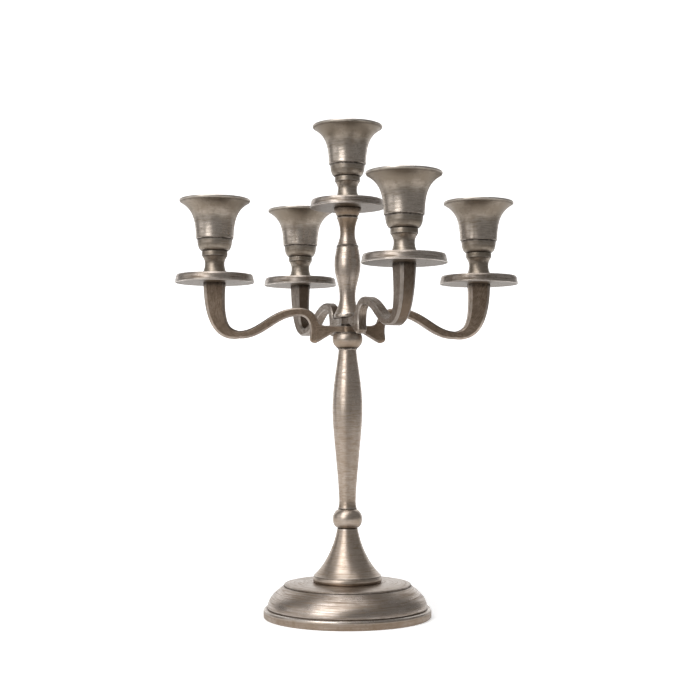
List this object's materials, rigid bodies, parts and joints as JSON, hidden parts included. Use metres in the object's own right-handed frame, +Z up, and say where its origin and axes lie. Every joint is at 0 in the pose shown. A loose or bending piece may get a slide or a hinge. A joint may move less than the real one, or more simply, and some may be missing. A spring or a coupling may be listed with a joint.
{
  "type": "five-light table candelabra",
  "caption": "Turned metal stand on a round domed foot, with two crossed S-curved arm bars that swivel on its rod, and bell-shaped candle cups on drip pans.",
  "frame": {"origin": "centre of the foot's underside, on the tie rod's axis", "axes": "+Z up along the stand; -Y is the front; the lower arm bar lies along X"},
  "size_m": [0.279, 0.2666, 0.3981],
  "materials": {
    "turned_metal": "antique nickel, lathe brushed, dark patina in the grooves",
    "cast_arms": "antique nickel on castings, dark patina with worn bevels",
    "drip_pans": "antique nickel, spun, radially brushed",
    "candle_cups": "antique nickel, lathe brushed",
    "steel": "plain zinc-plated steel"
  },
  "bodies": {
    "stand": {"base_foot": "turned_metal", "base_trumpet": "turned_metal", "bead_knop": "turned_metal", "column": "turned_metal", "ball_knop": "turned_metal", "ring_washer": "steel", "spindle": "turned_metal", "tie_rod": "steel", "base_washer": "steel", "base_nut": "steel", "pan_centre": "drip_pans", "cup_centre": "candle_cups", "stud_centre": "steel"},
    "lower_arms": {"arm_bar_lower": "cast_arms", "pan_right": "drip_pans", "pan_left": "drip_pans", "cup_right": "candle_cups", "cup_left": "candle_cups", "studs_lower": "steel"},
    "upper_arms": {"arm_bar_upper": "cast_arms", "pan_front": "drip_pans", "pan_back": "drip_pans", "cup_front": "candle_cups", "cup_back": "candle_cups", "studs_upper": "steel"}
  },
  "joints": [
    {"name": "lower_bar_swivel", "type": "hinge", "parent": "stand", "child": "lower_arms", "pos_m": [0, 0, 0.2316], "axis": [0, 0, 1], "continuous": true},
    {"name": "upper_bar_swivel", "type": "hinge", "parent": "lower_arms", "child": "upper_arms", "pos_m": [0, 0, 0.2382], "axis": [0, 0, 1], "range_deg": [-73, 34]}
  ]
}
